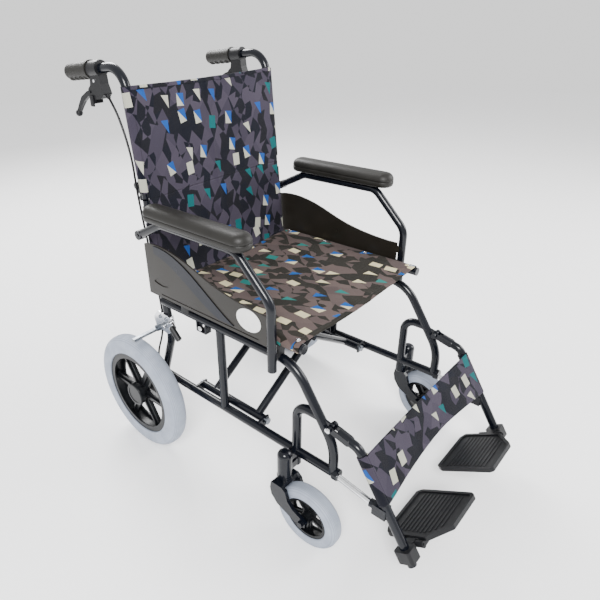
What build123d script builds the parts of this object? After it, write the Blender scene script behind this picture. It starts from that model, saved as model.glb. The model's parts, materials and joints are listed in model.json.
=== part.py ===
from build123d import *
from math import cos, hypot, radians, sin, sqrt, tan
import os

# A folding transit wheelchair. +X is the sitter's left, -Y is forward, +Z is up.
# The pieces are laid out from the rear axle (y = 0) and the floor (z = 0), and moved at the end
# so that the origin is under the middle of the whole chair.

# ---- overall sizes, mm ----
seatWidth = 462.0            # over the two seat rails
seatRailZ = 450.0            # seat rail axis above the floor
seatFrontY = -471.0          # front ends of the seat rails
seatRearY = -62.0            # rear ends of the seat rails
sideRailZ = 408.0            # upper rail of each side frame
rearWheelD = 312.0
casterD = 150.0
handleHeight = 928.0         # where the cane and push handle axes cross
handleReach = 209.0          # from that crossing to the end of the grip

# ---- tubes ----
frameTube = 20.0
frameWall = 1.8
armTube = 19.0
armWall = 1.6
hangerTube = 19.0
hangerWall = 1.6
stayTube = 13.0
smallPinD = 6.0              # hinge pins of the back, levers, shoes and footplates
runningGap = 0.05            # radial, on every turning fit
bodyGap = 0.4                # between soft pieces and what they lie on
faceGap = 0.5                # between flat faces that pass each other

# ---- side frame ----
caneInset = 5.0              # the back posts stand this far inside the side rails
postFootY = -45.0            # back post axis where it crosses the side rail
backLean = 5.3               # degrees
postKneeZ = 305.0
postKneeRadius = 90.0
postBelowAxle = 26.0
frontBendY = -450.0
frontBendRadius = 80.0
frontPostY = -551.0
frontKneeZ = 255.0
frontKneeRadius = 110.0
midPostY = -240.0
lowerRailAboveCaster = 37.0
lowerRailNose = 15.0
collarDiameter = 26.0

# ---- casters ----
stemOutset = 40.0            # caster stem outside the side frame
stemY = -457.0
housingD = 32.0
housingLength = 68.0
housingBelowCasterTop = 3.0
stemD = 16.0
supportTopZ = 312.0
supportBendRadius = 30.0
supportFoot = 37.0
casterTyreWidth = 33.0
casterTyreDepth = 25.0
casterSwivel = {"left": -8.0, "right": 1.0}   # rest angle of each caster, degrees about +Z
casterAxleD = 8.0
forkLegGap = 5.0
forkLegThick = 8.0

# ---- rear wheels ----
rearWheelOutset = 66.0       # wheel centre plane outside the side frame
rearTyreWidth = 44.0
rearTyreDepth = 43.0
rearAxleD = 12.0
rearHubWidth = 42.0
rearHubD = 46.0
drumD = 71.0
drumWidth = 12.0
cableD = 5.0
spokeCount = 6
casterSpokes = 5

# ---- cross brace ----
bracePinInset = 26.0         # brace pivot inside the side frame
bracePinZ = 190.0
bracePinD = 10.0
bracePlanes = {"a": (-180.0, -320.0), "b": (-202.0, -298.0)}
pivotTubeEnds = (-142.0, -342.0)
lugThick = 5.0
centreBoltD = 8.0

# ---- back ----
backHingeZ = 655.0
backHingeOffset = 17.0       # hinge pin behind the post axis
canePlugGap = 4.0
fabricThick = 3.5
fabricOverhang = 12.0
backFabricTopZ = 889.0
backFabricFootZ = 437.0
handleBendRadius = 50.0
gripD = 33.0
gripLength = 92.0
leverBehindGripFront = 2.5   # hand lever's pin behind the grip's front end
leverDrop = 45.0             # and below the handle's axis

# ---- armrest ----
armOutset = 26.0
armLegY = -414.0
armLegBottomZ = 388.0
armElbowZ = 535.0
armTopZ = 622.0
armFrontBendY = -327.0
armRearBendY = -105.0
armPivotY = -27.0
armPivotZ = 582.0
armBendRadius = 38.0
padWidth = 51.0
padHeight = 34.0
padOutset = 5.0              # pad's middle outside the arm tube
padFrontY = -368.0
padRearY = -69.0
panelThick = 4.0
panelLift = 25.0             # panel's foot above the upper rail
panelDrop = 24.0             # panel's rear top below the arm pivot

# ---- legrest ----
legPivotY = -542.0
legPivotZ = 300.0
legBoltD = 8.0
legKneeY = -606.0
legKneeZ = 284.0
legKneeRadius = 24.0
legLength = 251.0            # knee to the lower end
legAngle = 32.5              # degrees from upright
plateWidth = 148.0
plateLength = 138.0
plateThick = 8.0
plateAlongLeg = 213.0        # knee to the footplate's top
plateInset = 23.0            # footplate hinge inside the leg tube
strapTop = 14.0
strapBottom = 118.0

# ---- worked out ----
tubeR = frameTube / 2
frameX = seatWidth / 2 - tubeR
caneX = frameX - caneInset
wheelR = rearWheelD / 2
casterR = casterD / 2
lowerRailZ = casterD + lowerRailAboveCaster
housingZ = casterD - housingBelowCasterTop
stemX = frameX + stemOutset
casterTrail = casterR - 9.0
armX = frameX + armOutset
rearWheelX = frameX + rearWheelOutset
pinX = frameX - bracePinInset
hubInnerX = rearWheelX - rearHubWidth / 2 - 2.0
hubOuterX = rearWheelX + rearHubWidth / 2 - 2.0
drumInnerX = hubInnerX - 9.0 - drumWidth
handleDir = Vector(0, cos(radians(backLean)), -sin(radians(backLean)))
hingeY = postFootY + (backHingeZ - sideRailZ) * tan(radians(backLean)) + backHingeOffset
frontSlope = (frontBendY - frontPostY) / (sideRailZ - frontKneeZ)


def postY(z):
    """Fore-aft place of the leaning back post's axis at a height."""
    return postFootY + (z - sideRailZ) * tan(radians(backLean))


def sidePlane(x):
    """Side view plane: its first axis is Y and its second is Z."""
    return Plane(origin=(x, 0, 0), x_dir=(0, 1, 0), z_dir=(1, 0, 0))


def sweptTube(points, radii, outer, wall=0.0):
    """A round tube along straight runs with an arc at each corner."""
    path = FilletPolyline(*points, radius=radii) if radii else Polyline(*points)
    start = Plane(origin=path @ 0, z_dir=path % 0)
    ring = Circle(outer / 2)
    if wall:
        ring = ring - Circle(outer / 2 - wall)
    return sweep(start * ring, path=path)


def rod(start, end, radius):
    """A solid round bar between two points."""
    run = Vector(*end) - Vector(*start)
    at = Plane(origin=start, z_dir=run)
    return at * Cylinder(radius, run.length, align=(Align.CENTER, Align.CENTER, Align.MIN))


def rodX(y, z, x0, x1, radius):
    return rod((x0, y, z), (x1, y, z), radius)


def rodY(x, z, y0, y1, radius):
    return rod((x, y0, z), (x, y1, z), radius)


def block(x0, x1, y0, y1, z0, z1):
    centre = Pos((x0 + x1) / 2, (y0 + y1) / 2, (z0 + z1) / 2)
    return centre * Box(x1 - x0, y1 - y0, z1 - z0)


def sideShape(points, x0, x1, radius=0.0):
    """A flat plate cut to a side outline of (y, z) points."""
    face = make_face(Polyline(*points, close=True))
    if radius:
        face = fillet(face.vertices(), radius)
    return extrude(sidePlane(x0) * face, x1 - x0)


def ring(x0, x1, outer, inner, y, z):
    return rodX(y, z, x0, x1, outer) - rodX(y, z, x0 - 1, x1 + 1, inner)


# ---- side frame tubes ----
def railPath():
    rear = (frameX, postY(sideRailZ), sideRailZ)
    bend = (frameX, frontBendY, sideRailZ)
    knee = (frameX, frontPostY, frontKneeZ)
    return [rear, bend, knee, (frameX, frontPostY, lowerRailZ)]


def postPath():
    kneeY = postY(postKneeZ)
    run = hypot(kneeY, postKneeZ - wheelR)
    foot = min(wheelR, lowerRailZ) - postBelowAxle
    share = (postKneeZ - foot) / (postKneeZ - wheelR)
    top = backHingeZ - canePlugGap / 2
    return [(caneX, postY(top), top), (caneX, kneeY, postKneeZ), (caneX, kneeY * (1 - share), foot)]


def supportPath():
    joinY = frontBendY - (sideRailZ - supportTopZ) * frontSlope
    return [(frameX, joinY, supportTopZ), (frameX, stemY, supportTopZ),
            (frameX, stemY, lowerRailZ - supportFoot)]


def solidRail():
    return sweptTube(railPath(), [frontBendRadius, frontKneeRadius], frameTube)


def solidPost():
    return sweptTube(postPath(), [postKneeRadius], frameTube)


def solidLowerRail():
    return rodY(frameX, lowerRailZ, frontPostY - lowerRailNose, 0, tubeR)


def legLug():
    """The plate on the front post that carries the legrest bolt."""
    postAt = frontBendY - (sideRailZ - legPivotZ) * frontSlope
    outline = [(postAt + 2, legPivotZ + 12), (legPivotY - 6, legPivotZ + 7),
               (legPivotY - 7, legPivotZ - 6), (postAt - 8, legPivotZ - 12)]
    lug = sideShape(outline, frameX - 2.5, frameX + 2.5, 3.0)
    return lug - rodX(legPivotY, legPivotZ, frameX - 5, frameX + 5, legBoltD / 2)


def sideRail():
    tube = sweptTube(railPath(), [frontBendRadius, frontKneeRadius], frameTube, frameWall)
    tube = tube + (legLug() - solidRail())
    return tube - solidPost() - solidLowerRail()


def rearPost():
    tube = sweptTube(postPath(), [postKneeRadius], frameTube, frameWall)
    boss = rodX(0, wheelR, caneX - tubeR, caneX + tubeR, rearAxleD / 2 + 4)
    top = postPath()[0]
    plug = rod((caneX, postY(top[2] - 22), top[2] - 22), top, tubeR - frameWall)
    strap = backHingeStrap(top[2] - 52, top[2] - 6)
    bore = rodX(0, wheelR, caneX - 20, caneX + 20, rearAxleD / 2)
    pin = hingeBore()
    armBolt = rodX(armPivotY, armPivotZ, caneX, armX - armTube / 2 - 1.0, 5.0)
    armPin = rodX(armPivotY, armPivotZ, armX - armTube / 2 - 2.0, armX + armTube / 2 + 1.5, 3.5)
    body = tube + boss + plug + strap + armBolt + armPin
    return body - bore - pin


def backHingeStrap(zLow, zHigh):
    """Hinge cheek: a flat plate beside the post that reaches back to the hinge pin."""
    hinge = (hingeY, backHingeZ)
    toward = 1 if hinge[1] > zHigh else -1
    near, far = (zHigh, zLow) if toward > 0 else (zLow, zHigh)
    outline = [(postY(far) - 6, far), (postY(near) - 6, near),
               (hinge[0] - 9, hinge[1] - 3 * toward), (hinge[0] - 4.5, hinge[1] + 5.5 * toward),
               (hinge[0] + 5, hinge[1] + 5.5 * toward), (hinge[0] + 8, hinge[1] - 4 * toward),
               (postY(far) + 9, far)]
    x0 = caneX - 9.0 if toward > 0 else caneX - 4.5
    return sideShape(outline, x0, x0 + 4.0, 2.0)


def hingeBore():
    return rodX(hingeY, backHingeZ, caneX - 20, caneX + 20, smallPinD / 2 + runningGap)


def lowerRail():
    tube = solidLowerRail() - rodY(frameX, lowerRailZ, frontPostY - 2, 1, tubeR - frameWall)
    mid = rod((frameX, midPostY, lowerRailZ), (frameX, midPostY, sideRailZ - 4), tubeR)
    mid = mid - solidLowerRail() - rodY(frameX, sideRailZ, midPostY - 20, midPostY + 20, tubeR)
    lugs = pinLug(pivotTubeEnds[0] + 1.0, 1) + pinLug(pivotTubeEnds[1] - 1.0, -1)
    nose = frontPostY - lowerRailNose
    collar = rodY(frameX, lowerRailZ, nose, nose + 13, collarDiameter / 2)
    collar = chamfer(collar.edges(), 1.5)
    body = tube + mid + lugs + collar
    return body - solidRail() - solidPost() - casterSupport(True) - railFront()


def railFront():
    """The last upright of the front post, so the collar stops at it."""
    return rod((frameX, frontPostY, lowerRailZ), (frameX, frontPostY, frontKneeZ), tubeR)


def pinLug(y, side):
    """A lug on the lower rail that holds the brace pin."""
    y1 = y + lugThick * side
    arm = block(pinX - 9, frameX, min(y, y1), max(y, y1), lowerRailZ - 9, bracePinZ + 10)
    arm = arm + rodY(pinX, bracePinZ, min(y, y1), max(y, y1), 10.0)
    arm = arm - rodY(frameX, lowerRailZ, y - 9, y + 9, tubeR - frameWall)
    return arm - rodY(pinX, bracePinZ, y - 9, y + 9, bracePinD / 2)


def casterSupport(solid=False):
    """Bent tube behind the front post, with the caster housing welded beside it."""
    tube = sweptTube(supportPath(), [supportBendRadius], frameTube)
    foot = tube.faces().sort_by(Axis.Z)[0]
    tube = fillet(foot.edges(), 6.0)
    top = housingZ + housingLength
    housing = rod((stemX, stemY, housingZ), (stemX, stemY, top), housingD / 2)
    housing = fillet(housing.faces().sort_by(Axis.Z)[-1].edges(), 13.0)
    lip = rod((stemX, stemY, housingZ), (stemX, stemY, housingZ + 4), housingD / 2 + 0.8)
    body = tube + housing + lip
    for z in (housingZ + 9, housingZ + 35):
        body = body + block(frameX, stemX, stemY - 8, stemY + 8, z, z + 17)
    if not solid:
        body = body - rod((stemX, stemY, housingZ - 1), (stemX, stemY, top - 8),
                          stemD / 2 + runningGap)
    return body - solidRail()


# ---- running gear ----
def wheelTyre(radius, width, depth, x):
    """A round-shouldered tyre, made by turning its section about the axle."""
    inner = radius - depth
    corners = [(-width / 2, inner), (width / 2, inner), (width / 2, radius), (-width / 2, radius)]
    section = make_face(Polyline(*corners, close=True))
    section = fillet(section.vertices().sort_by(Axis.Y)[2:], min(width, depth) * 0.44)
    section = fillet(section.vertices().sort_by(Axis.Y)[:2], 3.0)
    return Pos(x, 0, 0) * revolve(Plane.XZ * section, Axis.X, 360)


def turnedRing(points, x):
    """A ring turned about the axle from (x, radius) points."""
    face = make_face(Polyline(*[(px, 0, pr) for px, pr in points], close=True))
    return Pos(x, 0, 0) * revolve(face, Axis.X, 360)


def rearRim():
    seat = wheelR - rearTyreDepth
    lip = rearTyreWidth / 2 - 4.0
    x = rearWheelX
    rim = turnedRing([(-lip, seat), (-lip, seat - 15), (-lip + 4, seat - 15),
                      (-lip + 7, seat - 5), (lip - 7, seat - 5), (lip - 4, seat - 15),
                      (lip, seat - 15), (lip, seat)], x)
    hub = rodX(0, 0, hubInnerX, hubOuterX, rearHubD / 2)
    cap = rodX(0, 0, hubOuterX - 5, hubOuterX + 9, 30.0)
    cap = fillet(cap.faces().sort_by(Axis.X)[-1].edges(), 3.0)
    cap = cap - rodX(0, 0, hubOuterX + 7.8, hubOuterX + 10, 23.0)
    drum = rodX(0, 0, drumInnerX, drumInnerX + drumWidth, drumD / 2)
    neck = rodX(0, 0, drumInnerX + drumWidth, hubInnerX, 18.0)
    body = rim + hub + cap + drum + neck
    body = body + spokes(spokeCount, rearHubD / 2 - 3, seat - 3, 28.0, 25.0, 9.0, x)
    pocket = rodX(0, 0, hubOuterX - 13, hubOuterX + 1, 12.0)
    bore = rodX(0, 0, drumInnerX - 1, hubOuterX - 5, rearAxleD / 2 + runningGap)
    return Pos(0, 0, wheelR) * (body - pocket - bore)


def spokes(count, inner, outer, rootWidth, tipWidth, thick, x):
    """Tapered spokes, each with a rib down its middle."""
    arms = None
    for turn in range(count):
        outline = [(-rootWidth / 2, inner), (rootWidth / 2, inner),
                   (tipWidth / 2, outer), (-tipWidth / 2, outer)]
        web = sideShape(outline, x - thick / 2, x + thick / 2)
        rib = sideShape([(-2.5, inner), (2.5, inner), (2.0, outer), (-2.0, outer)],
                        x - thick, x + thick)
        arm = Rot((turn + 0.5) * 360 / count, 0, 0) * (web + rib)
        arms = arm if arms is None else arms + arm
    return arms


def rearTyre():
    return Pos(0, 0, wheelR) * wheelTyre(wheelR, rearTyreWidth, rearTyreDepth, rearWheelX)


def rearAxle():
    """Axle bolt from the inside of the post to the hub's outer pocket."""
    inner = caneX - tubeR - 3
    outer = hubOuterX - 7
    bolt = rodX(0, wheelR, inner, outer, rearAxleD / 2)
    head = hexagon(inner - 7, inner, 19.0, 0, wheelR)
    spacer = rodX(0, wheelR, caneX + tubeR, caneX + tubeR + 4.5, 11.0)
    nut = hexagon(hubOuterX - 12, outer, 19.0, 0, wheelR)
    washer = rodX(0, wheelR, inner, caneX - tubeR, 12.0)
    shape = bolt + head + nut + washer + (spacer - solidPost())
    return shape - (solidPost() - rodX(0, wheelR, 0, 400, rearAxleD / 2))


def hexagon(x0, x1, across, y, z):
    flat = sidePlane(x0) * Pos(y, z) * RegularPolygon(across / 2, 6, major_radius=False)
    return extrude(flat, x1 - x0)


def bandBrake():
    """Fixed band round the hub drum, its back plate and the cable stop."""
    plateX = caneX + tubeR + 5.0
    ends = plateX + 3.0
    plate = rodX(0, wheelR, plateX, ends, 33.0)
    band = ring(drumInnerX + 1, drumInnerX + drumWidth - 1, drumD / 2 + 3.0, drumD / 2 + 0.6, 0, wheelR)
    band = band - block(0, 400, -60, -24, wheelR - 9, wheelR + 9)
    bridge = block(ends, drumInnerX + drumWidth - 1, -9, 9, wheelR + 30, wheelR + 38.0)
    bridge = bridge - rodX(0, wheelR, 0, 400, drumD / 2 + 0.6)
    tab = block(plateX, ends, -20, -6, wheelR + 26, wheelR + 52)
    stop = rod((cableStop()[0], cableStop()[1], cableStop()[2] - 14), cableStop(), 4.5)
    shape = plate + band + bridge + tab + stop
    return shape - rodX(0, wheelR, 0, 400, rearAxleD / 2 + 0.02) - solidPost()


def cableStop():
    return (caneX + tubeR + 8.5, -13.0, wheelR + 56.0)


# ---- casters, each turned about its stem ----
def casterFork():
    """Fork crown under the housing, two curved legs and the stem, with the axle bolt apart."""
    legIn = casterTyreWidth / 2 + forkLegGap
    legOut = legIn + forkLegThick
    top = housingZ - 1.0
    crown = rod((0, 0, top - 6), (0, 0, top), housingD / 2 + 1)
    arch = sideShape([(14, top - 4), (-14, top - 4), (-25, top - 22), (12, top - 24)], -legOut, legOut, 3.0)
    clearance = rodX(-casterTrail, casterR, -60, 60, casterR + 3.5)
    slot = block(-legIn, legIn, -200, 30, 0, top + 1)
    leg = sideShape([(14, top - 4), (-14, top - 4), (-24, top - 12), (-30, top - 34),
                     (-44, casterR + 22), (-casterTrail - 10, casterR + 7), (-casterTrail - 10, casterR - 7),
                     (-casterTrail + 4, casterR - 10), (-casterTrail + 22, casterR - 5), (-2, top - 58),
                     (13, top - 40), (17, top - 22)], legIn, legOut, 3.0)
    legs = leg + mirror(leg, Plane.YZ)
    crownPart = (crown + arch) - (clearance & slot)
    stem = rod((0, 0, top), (0, 0, housingZ + housingLength - 10), stemD / 2)
    fork = crownPart + legs + stem
    bore = rodX(-casterTrail, casterR, -60, 60, casterAxleD / 2)
    bolt = rodX(-casterTrail, casterR, -legOut - 1, legOut + 1, casterAxleD / 2)
    bolt = bolt + hexagon(legOut, legOut + 5, 13.0, -casterTrail, casterR)
    bolt = bolt + hexagon(-legOut - 6, -legOut, 13.0, -casterTrail, casterR)
    return Compound(children=[*(fork - bore).solids(), *bolt.solids()])


def casterRim():
    seat = casterR - casterTyreDepth
    lip = casterTyreWidth / 2 - 3.5
    rim = turnedRing([(-lip, seat), (-lip, seat - 7), (-lip + 3, seat - 7), (-lip + 5, seat - 3),
                      (lip - 5, seat - 3), (lip - 3, seat - 7), (lip, seat - 7), (lip, seat)], 0)
    hub = rodX(0, 0, -casterTyreWidth / 2 - 2, casterTyreWidth / 2 + 2, 13.0)
    body = rim + hub + spokes(casterSpokes, 10, seat - 1.5, 15.0, 16.0, 6.0, 0)
    bore = rodX(0, 0, -60, 60, casterAxleD / 2 + runningGap)
    return Pos(0, -casterTrail, casterR) * (body - bore)


def casterTyre():
    tyre = wheelTyre(casterR, casterTyreWidth, casterTyreDepth, 0)
    return Pos(0, -casterTrail, casterR) * tyre


def onStem(shape, side):
    sign = 1 if side == "left" else -1
    return Pos(sign * stemX, stemY, 0) * Rot(0, 0, casterSwivel[side]) * shape


# ---- cross brace ----
def brace(name):
    """One leg of the X: pivot tube, two diagonals and the seat rail that they carry."""
    side = -1 if name == "a" else 1
    foot = Vector(side * pinX, 0, bracePinZ)
    head = Vector(-side * frameX, 0, seatRailZ)
    y1, y0 = pivotTubeEnds
    rail = rodY(head.X, head.Z, seatFrontY, seatRearY, tubeR)
    railBore = rodY(head.X, head.Z, seatFrontY - 1, seatRearY + 1, tubeR - frameWall)
    pivot = rodY(foot.X, foot.Z, y0, y1, 10.0)
    body = pivot + rail
    for y in bracePlanes[name]:
        body = body + rod((foot.X, y, foot.Z), (head.X, y, head.Z), tubeR - 0.5)
    body = body - railBore - rodY(foot.X, foot.Z, y0 - 1, y1 + 1, bracePinD / 2 + runningGap)
    for y in bracePlanes[name]:
        gap = 0 if name == "a" else runningGap
        body = body - rodY(0, crossZ(), y - 20, y + 20, centreBoltD / 2 + gap)
    plugs = [railPlug(head, seatFrontY, -1), railPlug(head, seatRearY, 1)]
    solids = [*body.solids(), *plugs]
    if name == "a":
        solids = solids + [centreBolt(*pair) for pair in zip(bracePlanes["a"], bracePlanes["b"])]
    return Compound(children=solids)


def railPlug(head, y, out):
    """End plug of a seat rail."""
    plug = rodY(head.X, head.Z, y - 12 * out, y, tubeR - frameWall)
    flange = rodY(head.X, head.Z, y, y + 3 * out, tubeR)
    return (plug + flange).solids()[0]


def crossZ():
    """Height at which the two diagonals cross."""
    return bracePinZ + (seatRailZ - bracePinZ) * pinX / (pinX + frameX)


def centreBolt(ya, yb):
    out = 1 if ya > yb else -1
    reach = tubeR + 1.5
    start, end = ya + out * reach, yb - out * reach
    bolt = rodY(0, crossZ(), start, end, centreBoltD / 2)
    bolt = bolt + rodY(0, crossZ(), start, start + out * 4, 7.0)
    bolt = bolt + rodY(0, crossZ(), end, end - out * 5, 7.0)
    return bolt.solids()[0]


def bracePin():
    y1, y0 = pivotTubeEnds
    outer = 1.0 + lugThick
    pin = rodY(pinX, bracePinZ, y0 - outer - 1, y1 + outer + 1, bracePinD / 2)
    pin = pin + rodY(pinX, bracePinZ, y0 - outer - 6, y0 - outer, 8.0)
    return pin + rodY(pinX, bracePinZ, y1 + outer, y1 + outer + 6, 8.0)


# ---- back ----
def handleCorner():
    return Vector(caneX, postY(handleHeight), handleHeight)


def cane():
    """Upper back tube and push handle, with its half of the folding hinge."""
    foot = backHingeZ + canePlugGap / 2
    corner = handleCorner()
    end = corner + handleDir * (handleReach - 3)
    tube = sweptTube([(caneX, postY(foot), foot), tuple(corner), tuple(end)],
                     [handleBendRadius], frameTube, frameWall)
    plug = rod((caneX, postY(foot), foot), (caneX, postY(foot + 22), foot + 22), tubeR - frameWall)
    strap = backHingeStrap(foot + 6, foot + 50)
    pin = rodX(hingeY, backHingeZ, caneX - 12, caneX + 3, smallPinD / 2)
    nut = rodX(hingeY, backHingeZ, caneX - 0.5, caneX + 3, 6.0)
    head = rodX(hingeY, backHingeZ, caneX - 13, caneX - 9.4, 6.0)
    knobAt = (hingeY + 17, backHingeZ + 24)
    knob = rodX(*knobAt, caneX - 14, caneX + 2, 9.0)
    knob = fillet(knob.edges(), 3.5)
    neck = sideShape([(hingeY - 8, backHingeZ + 6), (hingeY + 8, backHingeZ + 6),
                      (hingeY + 24, backHingeZ + 22), (hingeY + 12, backHingeZ + 31)],
                     caneX - 4.5, caneX - 0.5, 2.0)
    return tube + plug + strap + pin + nut + head + knob + neck


def alongHandle(distance):
    """A point on the push handle's axis, measured back from its free end."""
    return handleCorner() + handleDir * (handleReach - distance)


def grip():
    """Moulded grip with finger waves underneath."""
    start = alongHandle(gripLength)
    end = alongHandle(0)
    body = rod(tuple(start), tuple(end), gripD / 2)
    body = fillet(body.faces().sort_by(Axis.Y)[-1].edges(), 6.0)
    flange = rod(tuple(start), tuple(alongHandle(gripLength - 6)), gripD / 2 + 3)
    under = Vector(0, -sin(radians(backLean)), -cos(radians(backLean)))
    for turn in range(4):
        at = alongHandle(14 + turn * 19) + under * (gripD / 2 - 1.5)
        body = body + Pos(*at) * scale(Sphere(6.5), (1.7, 1.05, 0.75))
    bore = rod(tuple(start - handleDir), tuple(alongHandle(3)), tubeR)
    return (body + flange) - bore


def leverAt():
    """The hand lever's pin, below and ahead of the grip."""
    at = alongHandle(gripLength - leverBehindGripFront)
    return (at.Y, at.Z - leverDrop)


def leverHousing():
    """Clamp on the handle and the body that carries the brake lever."""
    py, pz = leverAt()
    along = gripLength + 2.0
    ringStart = alongHandle(along)
    ringEnd = alongHandle(along + 36)
    clampRing = rod(tuple(ringEnd), tuple(ringStart), 17.0)
    outline = [(py - 8, pz + 34), (py - 42, pz + 37), (py - 44, pz + 18), (py - 52, pz - 2),
               (py - 40, pz - 12), (py - 12, pz - 16), (py - 12, pz - 24), (py + 4, pz - 24),
               (py - 4, pz - 9), (py + 6, pz - 4), (py + 6, pz + 6), (py - 4, pz + 14)]
    body = sideShape(outline, caneX - 11, caneX + 11, 2.0)
    bore = rod(tuple(alongHandle(along - 4)), tuple(alongHandle(along + 44)), tubeR)
    slot = block(caneX - 4 - faceGap, caneX + 4 + faceGap, py - 13, py + 20, pz - 13, pz + 13)
    pin = rodX(py, pz, caneX - 13, caneX + 13, smallPinD / 2)
    body = (clampRing + body) - bore - slot
    body = body + pin
    collar = rod((caneX, py - 49, pz - 4), (caneX, py - 54, pz - 10), 4.5)
    return body + collar


def handLever():
    """Curved lever with a ball end."""
    py, pz = leverAt()
    hub = rodX(py, pz, caneX - 4, caneX + 4, 7.5)
    outline = [(py, pz + 7), (py + 26, pz - 1), (py + 52, pz - 14), (py + 70, pz - 34),
               (py + 82, pz - 50), (py + 76, pz - 54), (py + 60, pz - 38), (py + 44, pz - 24),
               (py + 22, pz - 11), (py - 3, pz - 6)]
    arm = sideShape(outline, caneX - 4, caneX + 4, 2.5)
    ball = Pos(caneX, py + 79, pz - 52) * Sphere(8.0)
    return hub + arm + ball - rodX(py, pz, caneX - 20, caneX + 20, smallPinD / 2 + runningGap)


def cableRoute():
    """Brake cable from the lever, behind the back post, to the stop on the band brake."""
    py, pz = leverAt()
    stop = Vector(*cableStop())
    behind = tubeR + 7.0
    return [(caneX, py - 54.5, pz - 10.7), (caneX, py - 76, pz - 40), (caneX + 2, py - 98, pz - 84),
            (caneX + 5, postY(738) + behind + 4, 738), (caneX + 8, postY(677) + behind + 3, 677),
            (caneX + 8, postY(600) + behind + 1, 600), (caneX + 6, postY(520) + behind, 520),
            (caneX + 3, postY(440) + behind, 440), (caneX + 2, postY(362) + behind + 1, 362),
            (caneX + 8, stop.Y - 14, 305), (stop.X - 2, stop.Y - 3, 262),
            tuple(stop + Vector(0, 0, 24)), tuple(stop + Vector(0, 0, 0.3))]


def cornerRadii(points):
    """Arc radii, each as large as its two runs allow."""
    radii = []
    for a, b, c in zip(points, points[1:], points[2:]):
        first, second = Vector(*b) - Vector(*a), Vector(*c) - Vector(*b)
        turn = radians(first.get_angle(second))
        radii.append(0.45 * min(first.length, second.length) / tan(turn / 2))
    return radii


def brakeCable():
    points = cableRoute()
    return sweptTube(points, cornerRadii(points), cableD)


# ---- parking brake ----
def brakePlateOutline():
    top = postY(360)
    return [(top - 34, 372), (top + 22, 378), (top + 40, 356), (top + 34, 330), (top - 10, 322),
            (top - 38, 344)]


def parkLeverAt():
    return (postY(360) - 27.0, 361.0)


def shoeAt():
    return (postY(360) - 2.0, 343.0)


def brakePlate():
    x0 = caneX + tubeR + 0.5
    plate = sideShape(brakePlateOutline(), x0, x0 + 3.0, 6.0)
    low, high = (caneX, postY(334), 334), (caneX, postY(366), 366)
    band = rod(low, high, tubeR + 3.0)
    saddle = block(x0 - 3, x0, postY(350) - 9, postY(350) + 9, 334, 366)
    shape = plate + band + saddle - solidPost()
    for at in (parkLeverAt(), shoeAt()):
        shape = shape + rodX(*at, x0 + 3, x0 + 11, smallPinD / 2)
        shape = shape + rodX(*at, x0 + 8.5, x0 + 11.5, 5.5)
    return shape


def parkLever():
    """Lever with a sleeve that points forward and down."""
    y, z = parkLeverAt()
    x0 = caneX + tubeR + 0.5 + 3.0 + faceGap
    outline = [(y + 8, z + 5), (y - 4, z + 8), (y - 20, z - 6), (y - 15, z - 13), (y + 2, z - 8)]
    arm = sideShape(outline, x0, x0 + 4.0, 2.5)
    sleeve = rod((x0 + 8.5, y - 10, z - 3), (x0 + 12, y - 42, z - 27), 7.5)
    sleeve = fillet(sleeve.edges(), 4.0)
    root = block(x0, x0 + 8, y - 18, y - 8, z - 12, z - 1)
    return arm + root + sleeve - rodX(y, z, x0 - 5, x0 + 5, smallPinD / 2 + runningGap)


def brakeShoe():
    """Chrome arm that reaches out over the tyre."""
    y, z = shoeAt()
    x0 = caneX + tubeR + 0.5 + 3.0 + faceGap
    tyreTop = wheelR + sqrt(wheelR ** 2 - (y + 36) ** 2)
    zBar = max(tyreTop + 13.0, z - 24)
    outline = [(y - 8, z), (y - 4, z + 7), (y + 8, z + 6), (y + 38, zBar + 7), (y + 40, zBar - 2),
               (y + 28, zBar - 6), (y + 2, z - 8)]
    arm = sideShape(outline, x0, x0 + 4.0, 2.0)
    bar = block(x0, rearWheelX + 17, y + 28, y + 40, zBar - 5, zBar + 2)
    bar = fillet(bar.edges().filter_by(Axis.X), 2.0)
    return arm + bar - rodX(y, z, x0 - 5, x0 + 5, smallPinD / 2 + runningGap)


# ---- armrests ----
def armTubePath():
    return [(armX, armPivotY, armPivotZ), (armX, armRearBendY, armTopZ),
            (armX, armFrontBendY, armTopZ), (armX, armLegY, armElbowZ), (armX, armLegY, armLegBottomZ)]


def armTubePart():
    radii = [30.0, armBendRadius, armBendRadius + 6]
    tube = sweptTube(armTubePath(), radii, armTube, armWall)
    eye = rodX(armPivotY, armPivotZ, armX - armTube / 2, armX + armTube / 2, 11.0)
    start, nextPoint = Vector(*armTubePath()[0]), Vector(*armTubePath()[1])
    run = (nextPoint - start).normalized()
    plug = rod(tuple(start), tuple(start + run * 24), armTube / 2 - armWall)
    foot = Vector(armX, armLegY, armLegBottomZ)
    footPlug = rod(tuple(foot), tuple(foot + Vector(0, 0, 15)), armTube / 2 - armWall)
    body = tube + eye + plug + footPlug
    return body - rodX(armPivotY, armPivotZ, armX - 20, armX + 20, 3.5 + runningGap)


def armPad():
    z0 = armTopZ + armTube / 2 + 0.3
    x = armX + padOutset
    outline = Pos(x, (padFrontY + padRearY) / 2) * SlotOverall(padRearY - padFrontY, padWidth, rotation=90)
    pad = extrude(Plane.XY.offset(z0) * outline, padHeight)
    pad = fillet(pad.faces().sort_by(Axis.Z)[-1].edges(), 12.0)
    return fillet(pad.faces().sort_by(Axis.Z)[0].edges(), 5.0)


def panelOutline():
    z0, zr = sideRailZ + panelLift, armPivotZ - panelDrop
    front = armLegY + armTube / 2 + bodyGap
    return [(-25, z0), (-25, zr), (-100, zr + 4), (-165, zr - 10), (-235, zr - 34), (-310, zr - 50),
            (front, zr - 56), (front, z0)]


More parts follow.
